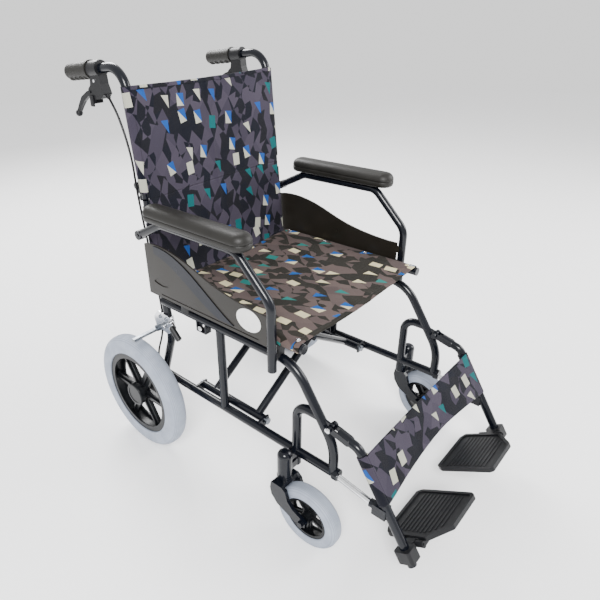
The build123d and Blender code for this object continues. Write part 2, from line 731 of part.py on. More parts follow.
def sidePanel():
    """Skirt guard with a raised sweeping band, a shallow leaf recess and a long slot."""
    pts = panelOutline()
    x0 = armX - armTube / 2 - panelThick + 3.5
    top = Spline(*pts[1:7])
    outline = make_face(top + Line(pts[6], pts[7]) + Line(pts[7], pts[0]) + Line(pts[0], pts[1]))
    panel = extrude(sidePlane(x0) * outline, panelThick)
    zTop, zLow = pts[1][1], pts[0][1]
    outer = Spline((-60, zTop + 2), (-140, zTop - 12), (-220, zTop - 58), (-306, zLow + 14))
    inner = Spline((-262, zLow + 14), (-196, zTop - 79), (-132, zTop - 41), (-60, zTop - 16))
    band = make_face(outer + Line((-306, zLow + 14), (-262, zLow + 14)) + inner
                     + Line((-60, zTop - 16), (-60, zTop + 2)))
    panel = panel + extrude(sidePlane(x0 + panelThick) * band, 2.0) + flanges(x0, pts)
    leafUp = Spline((-46, zLow + 36), (-76, zLow + 55), (-118, zLow + 60))
    leafDown = Spline((-118, zLow + 60), (-106, zLow + 42), (-46, zLow + 36))
    leaf = make_face(leafUp + leafDown)
    panel = panel - extrude(sidePlane(x0 + panelThick + 0.1) * leaf, -2.0)
    slot = block(x0 + panelThick - 1.5, x0 + panelThick + 1, pts[6][0] + 30, -70, zLow + 7, zLow + 10)
    panel = panel - slot
    return panel - armClearance()


def flanges(x0, pts):
    """Two screw pads that reach from the panel to the arm's front leg."""
    pads = None
    for z in (pts[0][1] + 16, pts[6][1] - 16):
        pad = block(x0, x0 + panelThick, armLegY + 2, pts[6][0] + 6, z - 8, z + 8)
        pads = pad if pads is None else pads + pad
    return pads


def armClearance():
    return rod((armX, armLegY, armLegBottomZ), (armX, armLegY, armElbowZ + 20), armTube / 2)


# ---- legrest ----
def legDir():
    return Vector(0, -sin(radians(legAngle)), -cos(radians(legAngle)))


def legKnee():
    return Vector(frameX, legKneeY, legKneeZ)


def plateDir():
    """Forward direction in the footplate's plane."""
    return Vector(0, -cos(radians(legAngle)), sin(radians(legAngle)))


def hanger():
    """Legrest tube with the channel at its bolt and the catch for the stay."""
    pivot = Vector(frameX, legPivotY, legPivotZ)
    run = (legKnee() - pivot).normalized()
    start = pivot + run * 17
    end = legKnee() + legDir() * legLength
    tube = sweptTube([tuple(start), tuple(legKnee()), tuple(end)], [legKneeRadius], hangerTube, hangerWall)
    endPlug = rod(tuple(end - legDir() * 8), tuple(end), hangerTube / 2 - hangerWall)
    startPlug = rod(tuple(start), tuple(start + run * 10), hangerTube / 2 - hangerWall)
    along = Plane(origin=pivot, x_dir=(run.X, run.Y, run.Z), z_dir=(1, 0, 0))
    half = hangerTube / 2
    cheek = Pos(21, 0) * SlotOverall(56, 14)
    cheeks = extrude(along.offset(half - 3.0) * cheek, 3.0)
    cheeks = cheeks + extrude(along.offset(-half) * cheek, 3.0)
    bolt = rodX(legPivotY, legPivotZ, frameX - half, frameX + half, legBoltD / 2 - runningGap)
    bolt = bolt + rodX(legPivotY, legPivotZ, frameX + half, frameX + half + 4, 6.5)
    bolt = bolt + rodX(legPivotY, legPivotZ, frameX - half - 5, frameX - half, 6.5)
    return tube + endPlug + startPlug + cheeks + bolt + stayCatch()


def stayEnds():
    start = Vector(frameX, frontPostY - lowerRailNose - faceGap, lowerRailZ - 4)
    down = (legKneeZ - (lowerRailZ - 22)) / cos(radians(legAngle))
    meet = legKnee() + legDir() * down
    end = meet + Vector(0, 42, 3)
    return start, end, meet


def stayCatch():
    """Moulded catch behind the leg tube that the stay snaps into."""
    end, meet = stayEnds()[1:]
    y0, y1 = meet.Y + 3, end.Y - faceGap
    catch = block(frameX - 11, frameX + 11, y0, y1 - 9, meet.Z - 12, meet.Z + 13)
    catch = catch + rodY(frameX, end.Z, y1 - 12, y1, 9.0)
    inside = rod(tuple(legKnee()), tuple(legKnee() + legDir() * legLength), hangerTube / 2 - hangerWall)
    return catch - inside


def stay():
    start, end = stayEnds()[:2]
    tube = rod(tuple(start + Vector(0, 3, 0)), tuple(end - Vector(0, 3, 0)), stayTube / 2)
    ends = block(frameX - 20, frameX + 20, end.Y, start.Y, 100, 300)
    return tube & ends


def plateFrame():
    """Footplate plane at its hinge: X inboard-outboard, Y forward, Z up along the leg."""
    at = legKnee() + legDir() * plateAlongLeg
    origin = Vector(frameX - plateInset, at.Y, at.Z)
    return Plane(origin=origin, x_dir=(1, 0, 0), z_dir=-legDir())


def footClamp():
    """Clamp round the leg tube with the footplate's hinge pin."""
    frame = plateFrame()
    half = hangerTube / 2
    outer = Pos(plateInset, 0, -13) * Box(2 * half + 12, 36, 26)
    outer = fillet(outer.edges().filter_by(Axis.Z), 6.0)
    ear = Pos(0.5, 0, -6) * Box(14, 20, 13)
    pin = Pos(0, 0, -6) * Rot(90, 0, 0) * Cylinder(smallPinD / 2, 62)
    body = frame * (outer + ear + pin)
    return body - rod(tuple(legKnee()), tuple(legKnee() + legDir() * (legLength + 10)), half)


def footplate():
    """Ribbed plate with a raised rim and two hinge knuckles."""
    frame = plateFrame()
    inner, outer = -plateWidth - 8.0, -9.0
    half = plateLength / 2
    # the plate's first axis is X, its second runs rearward or forward with the frame
    ahead = 1 if frame.y_dir.Y < 0 else -1
    corners = [(outer, (8 - half) * ahead), (outer, (half - 40) * ahead), (outer - 44, half * ahead),
               (inner + 6, half * ahead), (inner, (half - 8) * ahead), (inner, (12 - half) * ahead),
               (inner + 8, -half * ahead), (outer - 16, -half * ahead)]
    face = fillet(make_face(Polyline(*corners, close=True)).vertices(), 7.0)
    base = Pos(0, 0, -plateThick) * extrude(face, plateThick)
    rim = extrude(face - offset(face, -7.0), 3.0)
    body = base + rim
    ribs = int((plateLength - 34) // 9)
    for turn in range(ribs):
        y = (turn - (ribs - 1) / 2) * 9
        cut = max(0.0, y * ahead - half + 46)
        body = body + Pos(inner + 12 + (plateWidth - 28 - cut) / 2, y, 0.6) * Box(plateWidth - 28 - cut, 3.4, 1.4)
    body = fillet(body.edges().group_by(Axis.Z)[0], 2.5)
    for y in (-1, 1):
        knuckle = Pos(0, y * 20.5, -6) * Rot(90, 0, 0) * Cylinder(6.5, 18)
        tie = Pos(-8, y * 20.5, -7) * Box(16, 18, 7)
        body = body + knuckle + tie
    body = body - Pos(0, 0, -6) * Rot(90, 0, 0) * Cylinder(smallPinD / 2 + runningGap, 120)
    body = body - Pos(0, 0, -6) * Rot(90, 0, 0) * Cylinder(9.9, 22)
    return frame * body


# ---- soft pieces, plain solids ----
def seatFabric():
    z0 = seatRailZ + tubeR + bodyGap
    half = frameX + tubeR + 2
    return block(-half, half, seatFrontY + 6, seatRearY - 3, z0, z0 + fabricThick)


def backFabric(zLow, zHigh):
    front = tubeR + bodyGap
    half = caneX + fabricOverhang
    outline = [(postY(zLow) - front, zLow), (postY(zHigh) - front, zHigh),
               (postY(zHigh) - front - fabricThick, zHigh), (postY(zLow) - front - fabricThick, zLow)]
    return sideShape(outline, -half, half)


def calfStrap():
    front = hangerTube / 2 + bodyGap
    half = frameX + hangerTube / 2 + 2
    ahead = plateDir()
    low = legKnee() + legDir() * strapBottom + ahead * front
    high = legKnee() + legDir() * strapTop + ahead * front
    outline = [(low.Y, low.Z), (high.Y, high.Z), ((high + ahead * 3).Y, (high + ahead * 3).Z),
               ((low + ahead * 3).Y, (low + ahead * 3).Z)]
    return sideShape(outline, -half, half)


# ---- assembly ----
sidePieces = {
    "side_rail": sideRail, "rear_post": rearPost, "lower_rail": lowerRail,
    "caster_support": casterSupport, "brake_plate": brakePlate, "brace_pin": bracePin,
    "rear_axle": rearAxle, "band_brake": bandBrake, "brake_cable": brakeCable, "stay": stay,
    "push_cane": cane, "grip": grip, "lever_housing": leverHousing, "hand_lever": handLever,
    "arm_tube": armTubePart, "arm_pad": armPad, "side_panel": sidePanel,
    "rear_rim": rearRim, "rear_tyre": rearTyre, "park_lever": parkLever, "brake_shoe": brakeShoe,
    "leg_hanger": hanger, "foot_clamp": footClamp, "footplate": footplate,
}
stemPieces = {"caster_fork": casterFork, "caster_rim": casterRim, "caster_tyre": casterTyre}

parts = {}
for name, make in sidePieces.items():
    shape = make()
    parts[name + "_left"] = shape
    parts[name + "_right"] = mirror(shape, Plane.YZ)
for name, make in stemPieces.items():
    shape = make()
    for side in ("left", "right"):
        parts[name + "_" + side] = onStem(shape, side)
parts["cross_brace_a"] = brace("a")
parts["cross_brace_b"] = brace("b")
parts["seat_fabric"] = seatFabric()
parts["back_fabric_upper"] = backFabric(backHingeZ + 0.5, backFabricTopZ)
parts["back_fabric_lower"] = backFabric(backFabricFootZ, backHingeZ - 0.5)
parts["calf_strap"] = calfStrap()

boxes = [shape.bounding_box() for shape in parts.values()]
frontY = min(box.min.Y for box in boxes)
rearY = max(box.max.Y for box in boxes)
shift = -(frontY + rearY) / 2

os.makedirs("parts", exist_ok=True)
for name, shape in parts.items():
    export_step(Pos(0, shift, 0) * Compound(children=shape.solids()), "parts/" + name + ".step")
print("pieces", len(parts), "length", round(rearY - frontY, 1), "shift", round(shift, 3))
print("tops", round(max(box.max.Z for box in boxes), 1), "floor", round(min(box.min.Z for box in boxes), 3))
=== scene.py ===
import json
from math import cos, pi, radians, sin, tan

import bmesh
import bpy
from mathutils import Matrix, Vector, noise


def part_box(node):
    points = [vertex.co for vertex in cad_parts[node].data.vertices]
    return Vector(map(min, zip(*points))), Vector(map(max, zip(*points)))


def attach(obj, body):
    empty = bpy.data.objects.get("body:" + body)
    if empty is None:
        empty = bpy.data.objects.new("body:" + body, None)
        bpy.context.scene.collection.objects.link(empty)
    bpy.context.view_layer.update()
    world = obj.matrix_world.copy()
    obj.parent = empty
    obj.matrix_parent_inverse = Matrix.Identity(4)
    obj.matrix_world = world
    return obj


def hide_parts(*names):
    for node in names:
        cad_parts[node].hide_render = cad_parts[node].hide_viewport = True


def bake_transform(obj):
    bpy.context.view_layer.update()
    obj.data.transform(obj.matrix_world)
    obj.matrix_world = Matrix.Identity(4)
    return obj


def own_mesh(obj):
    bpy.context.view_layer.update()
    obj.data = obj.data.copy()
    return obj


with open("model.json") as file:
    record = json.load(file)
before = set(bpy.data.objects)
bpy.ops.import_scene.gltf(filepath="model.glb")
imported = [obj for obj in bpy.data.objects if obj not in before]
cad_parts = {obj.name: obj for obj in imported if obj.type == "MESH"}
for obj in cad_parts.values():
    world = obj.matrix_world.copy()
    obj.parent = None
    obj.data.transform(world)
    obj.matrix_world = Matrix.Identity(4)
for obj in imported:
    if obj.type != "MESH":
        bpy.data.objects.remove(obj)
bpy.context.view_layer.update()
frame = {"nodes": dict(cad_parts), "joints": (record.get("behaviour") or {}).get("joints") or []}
nodes = frame["nodes"]
joints = {joint["name"]: joint for joint in frame["joints"]}
sides = {"right": -1, "left": 1}
mm = 0.001
print("frame loaded:", len(nodes), "nodes")


def jointAt(name):
    return Vector(joints[name]["pos_m"])


# Places read from the frame
seatLow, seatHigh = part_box("seat_fabric")
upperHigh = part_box("back_fabric_upper")[1]
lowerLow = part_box("back_fabric_lower")[0]
tubeR = 10 * mm
clothGap = 0.4 * mm                            # between cloth and the tube it lies on
railX = jointAt("legrest_left").x             # side frame and seat rail, from the middle
caneX = jointAt("back_fold_left").x
backLean = radians(5.3)
legLean = radians(32.5)
hangerR = 9.5 * mm


# Node helpers
class Shader:
    # A material being built: short calls for its nodes.

    def __init__(self, name, colour, roughness, metallic=0.0):
        self.material = bpy.data.materials.new(name)
        self.material.use_nodes = True
        self.tree = self.material.node_tree
        self.surface = self.tree.nodes["Principled BSDF"]
        self.put("Base Color", (*colour, 1))
        self.put("Roughness", roughness)
        self.put("Metallic", metallic)

    def put(self, socket, value):
        self.surface.inputs[socket].default_value = value

    def add(self, kind, **settings):
        node = self.tree.nodes.new(kind)
        for key, value in settings.items():
            setattr(node, key, value)
        return node

    def join(self, source, target):
        self.tree.links.new(source, target)

    def feed(self, socket, value):
        # Set a socket to a number, or join another socket to it.
        if isinstance(value, bpy.types.NodeSocket):
            self.join(value, socket)
        else:
            socket.default_value = value

    def math(self, operation, first, second=0.0, third=None):
        node = self.add("ShaderNodeMath", operation=operation)
        self.feed(node.inputs[0], first)
        self.feed(node.inputs[1], second)
        if third is not None:
            self.feed(node.inputs[2], third)
        return node.outputs[0]

    def vector(self, operation, first, second):
        node = self.add("ShaderNodeVectorMath", operation=operation)
        self.feed(node.inputs[0], first)
        self.feed(node.inputs[1], second)
        return node.outputs[0]

    def parts(self, source):
        node = self.add("ShaderNodeSeparateXYZ")
        self.join(source, node.inputs[0])
        return node.outputs

    def place(self, output="Object"):
        return self.add("ShaderNodeTexCoord").outputs[output]

    def grain(self, scale, detail=4.0, coordinates=None):
        node = self.add("ShaderNodeTexNoise")
        node.inputs["Scale"].default_value = scale
        node.inputs["Detail"].default_value = detail
        self.join(coordinates or self.place(), node.inputs["Vector"])
        return node.outputs["Fac"]

    def spread(self, source, low, high, start=0.3, end=0.7):
        node = self.add("ShaderNodeMapRange")
        self.join(source, node.inputs["Value"])
        for socket, value in (("From Min", start), ("From Max", end), ("To Min", low), ("To Max", high)):
            node.inputs[socket].default_value = value
        return node.outputs[0]

    def mix(self, factor, first, second):
        node = self.add("ShaderNodeMix", data_type="RGBA")
        self.feed(node.inputs[0], factor)
        for socket, value in ((node.inputs[6], first), (node.inputs[7], second)):
            if isinstance(value, bpy.types.NodeSocket):
                self.join(value, socket)
            else:
                socket.default_value = (*value, 1)
        return node.outputs[2]

    def joined(self, value):
        # A number as a grey colour, so that two heights can be mixed.
        node = self.add("ShaderNodeCombineXYZ")
        for socket in node.inputs:
            self.join(value, socket)
        return node.outputs[0]

    def dimmed(self, source):
        # The same colour at a little under half its brightness.
        return self.mix(0.55, source, (0.0, 0.0, 0.0))

    def bump(self, height, strength, distance):
        node = self.add("ShaderNodeBump")
        node.inputs["Strength"].default_value = strength
        node.inputs["Distance"].default_value = distance
        self.join(height, node.inputs["Height"])
        self.join(node.outputs[0], self.surface.inputs["Normal"])

    def colour(self, source):
        self.join(source, self.surface.inputs["Base Color"])

    def rough(self, source):
        self.join(source, self.surface.inputs["Roughness"])


# Hard finishes
finishes = {
    "framePaint": dict(colour=(0.0022, 0.0030, 0.0055), low=0.14, high=0.28, coat=0.16, gleam=0.22),
    "wheelPlastic": dict(colour=(0.0035, 0.004, 0.005), low=0.26, high=0.40, coat=0.05, gleam=0.2),
    "blackPlastic": dict(colour=(0.005, 0.0052, 0.0062), low=0.34, high=0.50, coat=0.0, gleam=0.24),
    "cableSheath": dict(colour=(0.004, 0.004, 0.005), low=0.32, high=0.45, coat=0.0, gleam=0.25),
}


def glossPaint(name, colour, low, high, coat, gleam):
    # Sprayed or moulded black: faint orange peel, rubbed patches and a thin dusting.
    look = Shader(name, colour, low)
    look.put("Coat Weight", coat)
    look.put("Coat Roughness", 0.07)
    look.put("Specular IOR Level", gleam)
    peel = look.grain(420, 2)
    patch = look.grain(14, 6)
    lift = tuple(channel * 1.6 + 0.001 for channel in colour)
    look.colour(look.mix(look.spread(patch, 0, 0.6, 0.45, 0.8), colour, lift))
    look.rough(look.spread(patch, low, high))
    look.bump(peel, 0.06, 0.0004)
    return look.material


def mouldedBlack(name, colour, low, high, coat, gleam):
    # Fine spark-eroded plastic.
    look = Shader(name, colour, low)
    look.put("Coat Weight", coat)
    look.put("Specular IOR Level", gleam)
    fine = look.grain(1500, 2)
    patch = look.grain(22, 5)
    lift = tuple(channel * 1.5 + 0.001 for channel in colour)
    look.colour(look.mix(look.spread(patch, 0, 0.7), colour, lift))
    look.rough(look.spread(patch, low, high))
    look.bump(fine, 0.12, 0.0003)
    return look.material


framePaint = glossPaint("framePaint", **finishes["framePaint"])
wheelPlastic = glossPaint("wheelPlastic", **finishes["wheelPlastic"])
blackPlastic = mouldedBlack("blackPlastic", **finishes["blackPlastic"])
cableSheath = mouldedBlack("cableSheath", **finishes["cableSheath"])


def brightSteel(name, colour, low, high, scratch):
    # Plated or brushed steel with rubbed patches.
    look = Shader(name, colour, low, 1.0)
    patch = look.grain(40, 6)
    stretched = look.vector("MULTIPLY", look.place(), (900, 120, 900))    # brushed fore and aft
    lines = look.grain(1.0, 2, stretched)
    dull = tuple(channel * 0.72 for channel in colour)
    look.colour(look.mix(look.spread(patch, 0, 1, 0.4, 0.75), colour, dull))
    look.rough(look.spread(patch, low, high))
    look.bump(lines, scratch, 0.0002)
    return look.material


chrome = brightSteel("chrome", (0.80, 0.81, 0.83), 0.10, 0.28, 0.03)
dullSteel = brightSteel("dullSteel", (0.25, 0.27, 0.30), 0.28, 0.46, 0.12)


def tippedSteel(name, edge):
    # Bright steel with a black moulded sleeve in front of a fore-aft place.
    look = Shader(name, (0.80, 0.81, 0.83), 0.2, 1.0)
    y = look.parts(look.place())[1]
    sleeved = look.math("LESS_THAN", y, edge)
    patch = look.grain(40, 6)
    look.colour(look.mix(sleeved, (0.80, 0.81, 0.83), (0.005, 0.0052, 0.0062)))
    look.join(look.math("SUBTRACT", 1.0, sleeved), look.surface.inputs["Metallic"])
    bare = look.spread(patch, 0.12, 0.28)
    look.rough(look.math("ADD", bare, look.math("MULTIPLY", sleeved, 0.2)))
    look.bump(look.grain(1500, 2), 0.05, 0.0002)
    return look.material


def rubberSkin(name, colour, low, high, grainScale, depth):
    # Soft black skin with a leathery grain.
    look = Shader(name, colour, low)
    look.put("Specular IOR Level", 0.3)
    cells = look.add("ShaderNodeTexVoronoi", feature="DISTANCE_TO_EDGE")
    cells.inputs["Scale"].default_value = grainScale
    look.join(look.place(), cells.inputs["Vector"])
    patch = look.grain(18, 5)
    lift = tuple(channel * 1.6 + 0.001 for channel in colour)
    look.colour(look.mix(look.spread(patch, 0, 0.8), colour, lift))
    look.rough(look.spread(patch, low, high))
    look.bump(look.spread(cells.outputs["Distance"], 0, 1, 0.0, 0.25), depth, 0.0003)
    return look.material


padSkin = rubberSkin("padSkin", (0.0075, 0.0069, 0.0058), 0.44, 0.58, 900, 0.10)
gripRubber = rubberSkin("gripRubber", (0.0075, 0.007, 0.006), 0.46, 0.60, 1400, 0.25)


def panelPlastic(bandAbove):
    # Side panel: brown-black sheet, with the raised band in darker blue-black.
    look = Shader("panelPlastic", (0.009, 0.0076, 0.0058), 0.34)
    look.put("Specular IOR Level", 0.28)
    x = look.parts(look.place())[0]
    onBand = look.math("GREATER_THAN", look.math("ABSOLUTE", x), bandAbove)
    patch = look.grain(12, 5)
    sheetTone = look.mix(look.spread(patch, 0, 0.8), (0.009, 0.0076, 0.0058), (0.014, 0.0118, 0.0092))
    look.colour(look.mix(onBand, sheetTone, (0.0028, 0.0040, 0.0085)))
    look.rough(look.spread(patch, 0.26, 0.42))
    look.bump(look.grain(1300, 2), 0.10, 0.0003)
    return look.material


def greyTyre(name, centre, swivel, radius, ribs):
    # Light grey solid tyre with fine ribs round the tread, painted shade in the rib grooves, and a faint
    # ring on each wall.
    look = Shader(name, (0.30, 0.335, 0.405), 0.6)
    look.put("Specular IOR Level", 0.35)
    local = look.vector("SUBTRACT", look.place(), tuple(centre))
    turned = look.add("ShaderNodeVectorRotate", rotation_type="Z_AXIS")
    turned.inputs["Angle"].default_value = -swivel
    look.join(local, turned.inputs["Vector"])
    x, y, z = look.parts(turned.outputs[0])
    fromAxle = look.math("SQRT", look.math("ADD", look.math("MULTIPLY", y, y), look.math("MULTIPLY", z, z)))
    onTread = look.spread(fromAxle, 0, 1, radius - 0.012, radius - 0.006)
    rib = look.math("SINE", look.math("MULTIPLY", x, 2 * pi / ribs))
    wallRing = look.math("SINE", look.math("MULTIPLY", fromAxle, 2 * pi / (ribs * 1.6)))
    wallHeight = look.math("MULTIPLY", wallRing, 0.35)
    height = look.mix(onTread, look.joined(wallHeight), look.joined(rib))
    dirt = look.grain(30, 6)
    # Painted shade: the tread's rib grooves are darkened towards (0.13, 0.145, 0.175), as if in their own
    # shadow.
    grooveShade = look.spread(rib, 0.5, 0.0, -1, 0)
    shade = look.math("MULTIPLY", grooveShade, onTread)
    clean = look.mix(look.spread(dirt, 0, 1), (0.30, 0.335, 0.405), (0.235, 0.265, 0.325))
    look.colour(look.mix(shade, clean, (0.13, 0.145, 0.175)))
    look.rough(look.spread(dirt, 0.5, 0.68))
    look.bump(height, 0.5, 0.0006)
    return look.material


# Printed cloth
prints = {
    "back": dict(dark=(0.0025, 0.0035, 0.009), dim=(0.005, 0.005, 0.008), mauve=(0.030, 0.025, 0.040),
                 pale=(0.046, 0.038, 0.056), cream=(0.36, 0.36, 0.30), teal=(0.001, 0.085, 0.092),
                 blue=(0.008, 0.060, 0.250)),
    "seat": dict(dark=(0.010, 0.0092, 0.0065), dim=(0.016, 0.0135, 0.010), mauve=(0.066, 0.047, 0.045),
                 pale=(0.092, 0.066, 0.060), cream=(0.55, 0.49, 0.30), teal=(0.008, 0.140, 0.125),
                 blue=(0.001, 0.070, 0.270)),
}
motif = dict(diamondWide=0.041, diamondTall=0.058, blockWide=0.023, blockTall=0.037, accentWide=0.050,
             accentTall=0.056, weave=0.00085)


def zigzag(look, value, period, reach):
    # A wave of straight lines, so that warped edges stay straight.
    wave = look.math("PINGPONG", value, period / 2)
    return look.math("MULTIPLY", look.math("SUBTRACT", wave, period / 4), reach * 4 / period)


def lattice(look, u, v, seed):
    # Random numbers in each cell of a lattice.
    cell = look.add("ShaderNodeCombineXYZ")
    look.join(look.math("FLOOR", u), cell.inputs[0])
    look.join(look.math("FLOOR", v), cell.inputs[1])
    cell.inputs[2].default_value = seed
    random = look.add("ShaderNodeTexWhiteNoise", noise_dimensions="3D")
    look.join(cell.outputs[0], random.inputs["Vector"])
    return look.parts(random.outputs["Color"])


def patchwork(look, x, y):
    # Diamonds and upright blocks laid over each other: is it light, and two shade numbers.
    leaning = look.math("ADD", x, zigzag(look, y, 0.094, 0.005))
    across = look.math("DIVIDE", leaning, motif["diamondWide"])
    upward = look.math("DIVIDE", y, motif["diamondTall"])
    diamonds = lattice(look, look.math("ADD", across, upward), look.math("SUBTRACT", across, upward), 3.0)
    bent = look.math("ADD", x, zigzag(look, y, 0.062, 0.0045))
    column = look.math("DIVIDE", bent, motif["blockWide"])
    stagger = look.math("MULTIPLY", look.math("FLOOR", column), 0.37)
    tilted = look.math("ADD", y, zigzag(look, x, 0.046, 0.004))
    row = look.math("ADD", look.math("DIVIDE", tilted, motif["blockTall"]), stagger)
    blocks = lattice(look, column, row, 8.0)
    light = look.math("LESS_THAN", diamonds[0], 0.52)
    flip = look.math("LESS_THAN", blocks[0], 0.34)
    return look.math("ABSOLUTE", look.math("SUBTRACT", light, flip)), diamonds[1], blocks[1]


def accents(look, place):
    # Scattered quads and triangles: a mask, a number that picks the colour, and a half.
    scaled = look.vector("MULTIPLY", place, (1 / motif["accentWide"], 1 / motif["accentTall"], 1))
    cells = look.add("ShaderNodeTexVoronoi", voronoi_dimensions="2D")
    cells.inputs["Scale"].default_value = 1.0
    cells.inputs["Randomness"].default_value = 0.7
    look.join(scaled, cells.inputs["Vector"])
    local = look.vector("SUBTRACT", scaled, cells.outputs["Position"])
    x, y, _ = look.parts(local)
    pick, lean, cut = look.parts(cells.outputs["Color"])
    slant = look.math("MULTIPLY", look.math("SUBTRACT", lean, 0.5), 0.5)
    across = look.math("ADD", x, look.math("MULTIPLY", y, slant))
    along = look.math("SUBTRACT", y, look.math("MULTIPLY", x, slant))
    inWidth = look.math("LESS_THAN", look.math("ABSOLUTE", across), 0.2)
    inHeight = look.math("LESS_THAN", look.math("ABSOLUTE", along), 0.26)
    inside = look.math("MULTIPLY", inWidth, inHeight)
    half = look.math("GREATER_THAN", look.math("ADD", look.math("MULTIPLY", across, 1.3), along), 0.0)
    whole = look.math("LESS_THAN", cut, 0.55)
    kept = look.math("MAXIMUM", whole, half)
    shown = look.math("LESS_THAN", pick, 0.74)
    mask = look.math("MULTIPLY", look.math("MULTIPLY", inside, kept), shown)
    return mask, pick, half


def printedCloth(name, tones):
    # Plain-woven cloth with a patchwork print, on the piece's own UV map in metres.
    look = Shader(name, tones["dark"], 0.82)
    look.put("Sheen Weight", 0.04)
    look.put("Sheen Roughness", 0.5)
    look.put("Specular IOR Level", 0.12)
    place = look.place("UV")
    x, y, _ = look.parts(place)
    isMauve, firstShade, secondShade = patchwork(look, x, y)
    darks = look.mix(secondShade, tones["dark"], tones["dim"])
    mauves = look.mix(firstShade, tones["mauve"], tones["pale"])
    base = look.mix(isMauve, darks, mauves)
    mask, pick, half = accents(look, place)
    isTeal = look.math("LESS_THAN", pick, 0.24)
    isBlue = look.math("LESS_THAN", pick, 0.46)
    blueOrCream = look.mix(look.math("MULTIPLY", isBlue, half), tones["cream"], tones["blue"])
    bright = look.mix(isTeal, blueOrCream, tones["teal"])
    printed = look.mix(mask, base, bright)
    warp = look.math("SINE", look.math("MULTIPLY", x, 2 * pi / motif["weave"]))
    weft = look.math("SINE", look.math("MULTIPLY", y, 2 * pi / motif["weave"]))
    weave = look.math("MULTIPLY", warp, weft)
    thread = look.spread(weave, 0.0, 0.22, -1, 1)
    worn = look.grain(9, 5, place)
    shade = look.math("ADD", thread, look.spread(worn, 0, 0.12))
    look.colour(look.mix(shade, printed, look.dimmed(printed)))
    look.rough(look.spread(worn, 0.74, 0.88))
    look.bump(weave, 0.35, 0.0003)
    return look.material


backCloth = printedCloth("backCloth", prints["back"])
seatCloth = printedCloth("seatCloth", prints["seat"])


def webbing():
    # Dark binding tape with a twill line.
    look = Shader("bindingTape", (0.008, 0.009, 0.014), 0.8)
    x, y, _ = look.parts(look.place("UV"))
    twill = look.math("SINE", look.math("MULTIPLY", look.math("ADD", x, y), 2 * pi / 0.0016))
    tone = look.spread(twill, 0, 1, -1, 1)
    look.colour(look.mix(tone, (0.007, 0.008, 0.013), (0.020, 0.021, 0.030)))
    look.bump(twill, 0.4, 0.0003)
    return look.material


bindingTape = webbing()
print("materials ready")


# Finishes on the frame's own nodes
def paintNode(name, material):
    mesh = nodes[name].data
    mesh.materials.clear()
    mesh.materials.append(material)


nodeFinish = {
    "side_rail": framePaint, "rear_post": framePaint, "lower_rail": framePaint, "caster_support": framePaint,
    "brake_plate": chrome, "brace_pin": dullSteel, "rear_axle": dullSteel, "band_brake": dullSteel,
    "stay": chrome, "push_cane": framePaint, "grip": gripRubber, "lever_housing": blackPlastic,
    "hand_lever": blackPlastic, "arm_tube": framePaint, "rear_rim": wheelPlastic,
    "brake_shoe": dullSteel, "leg_hanger": framePaint, "foot_clamp": blackPlastic, "footplate": blackPlastic,
    "caster_fork": framePaint, "caster_rim": wheelPlastic,
}
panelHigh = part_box("side_panel_left")[1]
panelSkin = panelPlastic(panelHigh.x - 1.5 * mm)
for side, sign in sides.items():
    for name, material in nodeFinish.items():
        paintNode(name + "_" + side, material)
    paintNode("side_panel_" + side, panelSkin)
    leverEdge = jointAt("park_lever_" + side).y - 13 * mm
    paintNode("park_lever_" + side, tippedSteel("parkLeverSteel_" + side, leverEdge))
    rearLow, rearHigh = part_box("rear_tyre_" + side)
    rearR = (rearHigh.z - rearLow.z) / 2
    rearTread = greyTyre("rearTread_" + side, jointAt("rear_wheel_" + side), 0, rearR, 0.0034)
    paintNode("rear_tyre_" + side, rearTread)
    axle = Vector(joints["caster_roll_" + side]["axis"])
    swivel = axle.xy.angle_signed(Vector((1, 0)))
    frontR = jointAt("caster_roll_" + side).z
    tread = greyTyre("casterTread_" + side, jointAt("caster_roll_" + side), swivel, frontR, 0.0030)
    paintNode("caster_tyre_" + side, tread)
for name in ("cross_brace_a", "cross_brace_b"):
    paintNode(name, framePaint)


# Mesh helpers
def finishPiece(bm, name, material, smoothBelow=40.0):
    # Turn a bmesh into an object at the origin with its normals outwards.
    bmesh.ops.recalc_face_normals(bm, faces=bm.faces)
    mesh = bpy.data.meshes.new(name)
    bm.to_mesh(mesh)
    bm.free()
    mesh.polygons.foreach_set("use_smooth", [True] * len(mesh.polygons))
    mesh.set_sharp_from_angle(angle=radians(smoothBelow))
    mesh.materials.append(material)
    piece = bpy.data.objects.new(name, mesh)
    bpy.context.scene.collection.objects.link(piece)
    return piece


def addModifier(piece, kind, **settings):
    modifier = piece.modifiers.new(kind.title(), kind)
    for key, value in settings.items():
        setattr(modifier, key, value)
    return modifier


def clothSheet(name, material, across, along, shape, thickness, metres):
    # A grid bent to shape(s, t), with its UV map in metres from metres(s, t).
    bm = bmesh.new()
    uv = bm.loops.layers.uv.new("cloth")
    bmesh.ops.create_grid(bm, x_segments=across, y_segments=along, size=0.5)
    for face in bm.faces:
        for loop in face.loops:
            loop[uv].uv = metres(loop.vert.co.x + 0.5, loop.vert.co.y + 0.5)
    for vert in bm.verts:
        vert.co = shape(vert.co.x + 0.5, vert.co.y + 0.5)
    mesh = bpy.data.meshes.new(name)
    bm.to_mesh(mesh)
    bm.free()
    mesh.polygons.foreach_set("use_smooth", [True] * len(mesh.polygons))
    mesh.materials.append(material)
    piece = bpy.data.objects.new(name, mesh)
    bpy.context.scene.collection.objects.link(piece)
    addModifier(piece, "SOLIDIFY", thickness=thickness, offset=0.0)
    return piece


def ripple(x, y, scale, seed):
    return noise.noise(Vector((x * scale, y * scale, seed)))


def ease(value):
    # 0 to 1, flat at both ends.
    value = max(0.0, min(1.0, value))
    return value * value * (3 - 2 * value)


# Seat sling
seatSet = dict(thickness=2.2 * mm, railZ=450 * mm, wrap=radians(125), sag=6 * mm, frontDrop=3 * mm)


